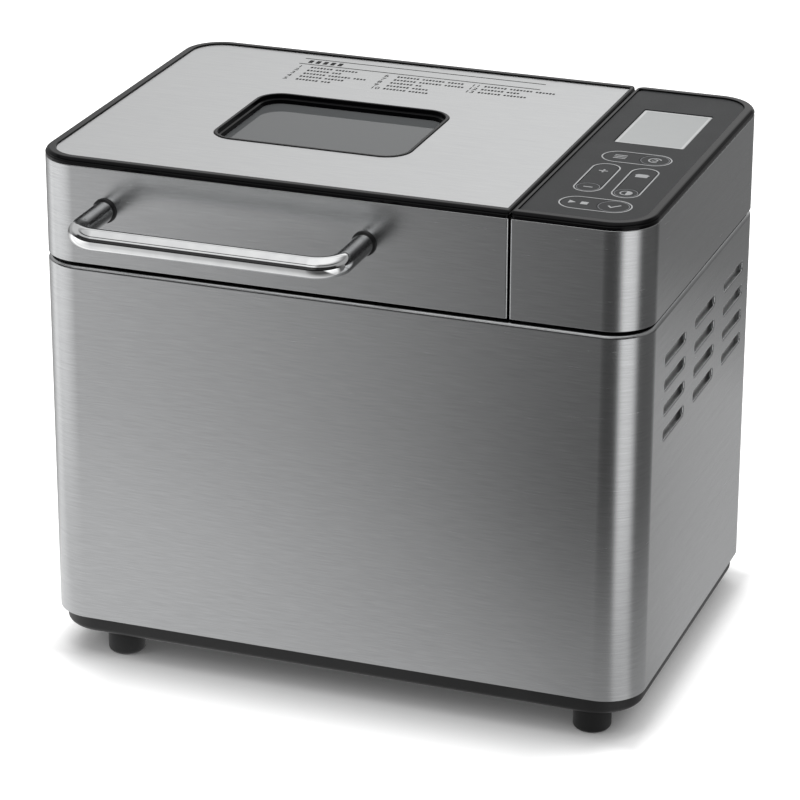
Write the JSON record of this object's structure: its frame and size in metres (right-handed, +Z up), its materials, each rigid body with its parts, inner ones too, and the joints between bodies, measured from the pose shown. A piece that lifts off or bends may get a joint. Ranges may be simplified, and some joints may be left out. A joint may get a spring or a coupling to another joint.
{
  "type": "bread machine",
  "caption": "Bread machine with a brushed steel body, hinged windowed lid with bar handle, control tower, bread pan, kneading paddle and belt drive.",
  "frame": {"origin": "under the middle of the whole object's box, on the surface that the feet stand on", "axes": "+Z up, -Y is the front with the handle, +X is the control tower's side"},
  "size_m": [0.35, 0.289, 0.3],
  "materials": {
    "steel": "fine horizontal brush lines, satin",
    "black_plastic": "black, satin to glossy",
    "feet_rubber": "matte black",
    "chrome": "bright polished",
    "dark_collar": "dark satin",
    "bright_steel": "plain bright zinc or polished",
    "louvre_grey": "grey satin",
    "oven_steel": "plain aluminised sheet",
    "element": "dark oxidised sheath",
    "ceramic": "unglazed off-white",
    "cast_aluminium": "die cast, satin",
    "bronze": "sintered bronze",
    "motor_steel": "zinc plated",
    "belt_rubber": "black, smooth",
    "white_plastic": "off-white moulded",
    "board": "coated circuit board",
    "blue_plastic": "moulded component cases",
    "display": "clear lens over a pale grey display",
    "glass": "clear, slightly grey",
    "gasket": "red silicone, matte",
    "pan_coating": "dark non-stick coating"
  },
  "bodies": {
    "base": {"base_pan": "black_plastic", "feet": "feet_rubber", "case_screws": "bright_steel", "body_shell": "steel", "vent_baffle": "louvre_grey", "cord_gland": "black_plastic", "top_deck": "black_plastic", "chamber": "oven_steel", "heat_shield": "oven_steel", "heating_element": "element", "element_bushes": "ceramic", "element_clips": "oven_steel", "temperature_probe": "bright_steel", "thermal_fuse": "ceramic", "pan_socket": "oven_steel", "drive_bracket": "oven_steel", "bracket_screws": "bright_steel", "bearing_housing": "cast_aluminium", "shaft_bushes": "bronze", "motor_housing": "motor_steel", "drive_belt": "belt_rubber", "run_capacitor": "white_plastic", "power_board": "board", "power_parts": "blue_plastic", "tower_skirt": "steel", "control_housing": "black_plastic", "lcd_lens": "display", "lcd_module": "display", "control_board": "board", "board_screws": "bright_steel", "key_switches": "white_plastic", "hinge_pins": "bright_steel"},
    "lid": {"lid_skirt": "steel", "lid_frame": "black_plastic", "lid_top_plate": "steel", "window_frame": "black_plastic", "window_panes": "glass", "lid_liner": "oven_steel", "lid_gasket": "gasket", "lid_handle": "chrome", "handle_collars": "dark_collar", "handle_screws": "bright_steel"},
    "pan": {"bread_pan": "pan_coating", "pan_hub": "cast_aluminium"},
    "bail": {"pan_handle": "bright_steel"},
    "pan_shaft": {"kneading_shaft": "bright_steel"},
    "paddle": {"kneading_paddle": "pan_coating"},
    "drive": {"drive_shaft": "bright_steel", "drive_coupler": "cast_aluminium", "large_pulley": "white_plastic"},
    "rotor": {"motor_shaft": "bright_steel", "motor_pulley": "white_plastic"},
    "menu_key": {"menu_key": "black_plastic"},
    "knead_key": {"knead_key": "black_plastic"},
    "later_key": {"later_key": "black_plastic"},
    "earlier_key": {"earlier_key": "black_plastic"},
    "loaf_key": {"loaf_key": "black_plastic"},
    "crust_key": {"crust_key": "black_plastic"},
    "start_key": {"start_key": "black_plastic"},
    "confirm_key": {"confirm_key": "black_plastic"}
  },
  "joints": [
    {"name": "lid_hinge", "type": "hinge", "parent": "base", "child": "lid", "pos_m": [0, 0.135, 0.247], "axis": [-1, 0, 0], "range_deg": [0, 92]},
    {"name": "pan_twist", "type": "hinge", "parent": "base", "child": "pan", "pos_m": [-0.0375, 0.024, 0.101], "axis": [0, 0, 1], "range_deg": [0, 8]},
    {"name": "pan_bail", "type": "hinge", "parent": "pan", "child": "bail", "pos_m": [-0.0375, 0.024, 0.222], "axis": [-1, 0, 0], "range_deg": [0, 38]},
    {"name": "drive_spin", "type": "hinge", "parent": "base", "child": "drive", "pos_m": [-0.0375, 0.024, 0.084], "axis": [0, 0, 1], "continuous": true},
    {"name": "shaft_spin", "type": "hinge", "parent": "pan", "child": "pan_shaft", "pos_m": [-0.0375, 0.024, 0.101], "axis": [0, 0, 1], "continuous": true},
    {"name": "paddle_lift", "type": "slide", "parent": "pan_shaft", "child": "paddle", "axis": [0, 0, 1], "range_m": [0, 0.05]},
    {"name": "motor_spin", "type": "hinge", "parent": "base", "child": "rotor", "pos_m": [0.12685, 0.024, 0.084], "axis": [0, 0, 1], "continuous": true},
    {"name": "menu_press", "type": "slide", "parent": "base", "child": "menu_key", "axis": [0, 0, -1], "range_m": [0, 0.0005], "stiffness_N_per_m": 400},
    {"name": "knead_press", "type": "slide", "parent": "base", "child": "knead_key", "axis": [0, 0, -1], "range_m": [0, 0.0005], "stiffness_N_per_m": 400},
    {"name": "later_press", "type": "slide", "parent": "base", "child": "later_key", "axis": [0, 0, -1], "range_m": [0, 0.0005], "stiffness_N_per_m": 400},
    {"name": "earlier_press", "type": "slide", "parent": "base", "child": "earlier_key", "axis": [0, 0, -1], "range_m": [0, 0.0005], "stiffness_N_per_m": 400},
    {"name": "loaf_press", "type": "slide", "parent": "base", "child": "loaf_key", "axis": [0, 0, -1], "range_m": [0, 0.0005], "stiffness_N_per_m": 400},
    {"name": "crust_press", "type": "slide", "parent": "base", "child": "crust_key", "axis": [0, 0, -1], "range_m": [0, 0.0005], "stiffness_N_per_m": 400},
    {"name": "start_press", "type": "slide", "parent": "base", "child": "start_key", "axis": [0, 0, -1], "range_m": [0, 0.0005], "stiffness_N_per_m": 400},
    {"name": "confirm_press", "type": "slide", "parent": "base", "child": "confirm_key", "axis": [0, 0, -1], "range_m": [0, 0.0005], "stiffness_N_per_m": 400}
  ],
  "couplings": [
    {"joint": "shaft_spin", "follows": "drive_spin", "ratio": 1},
    {"joint": "motor_spin", "follows": "drive_spin", "ratio": 5}
  ]
}
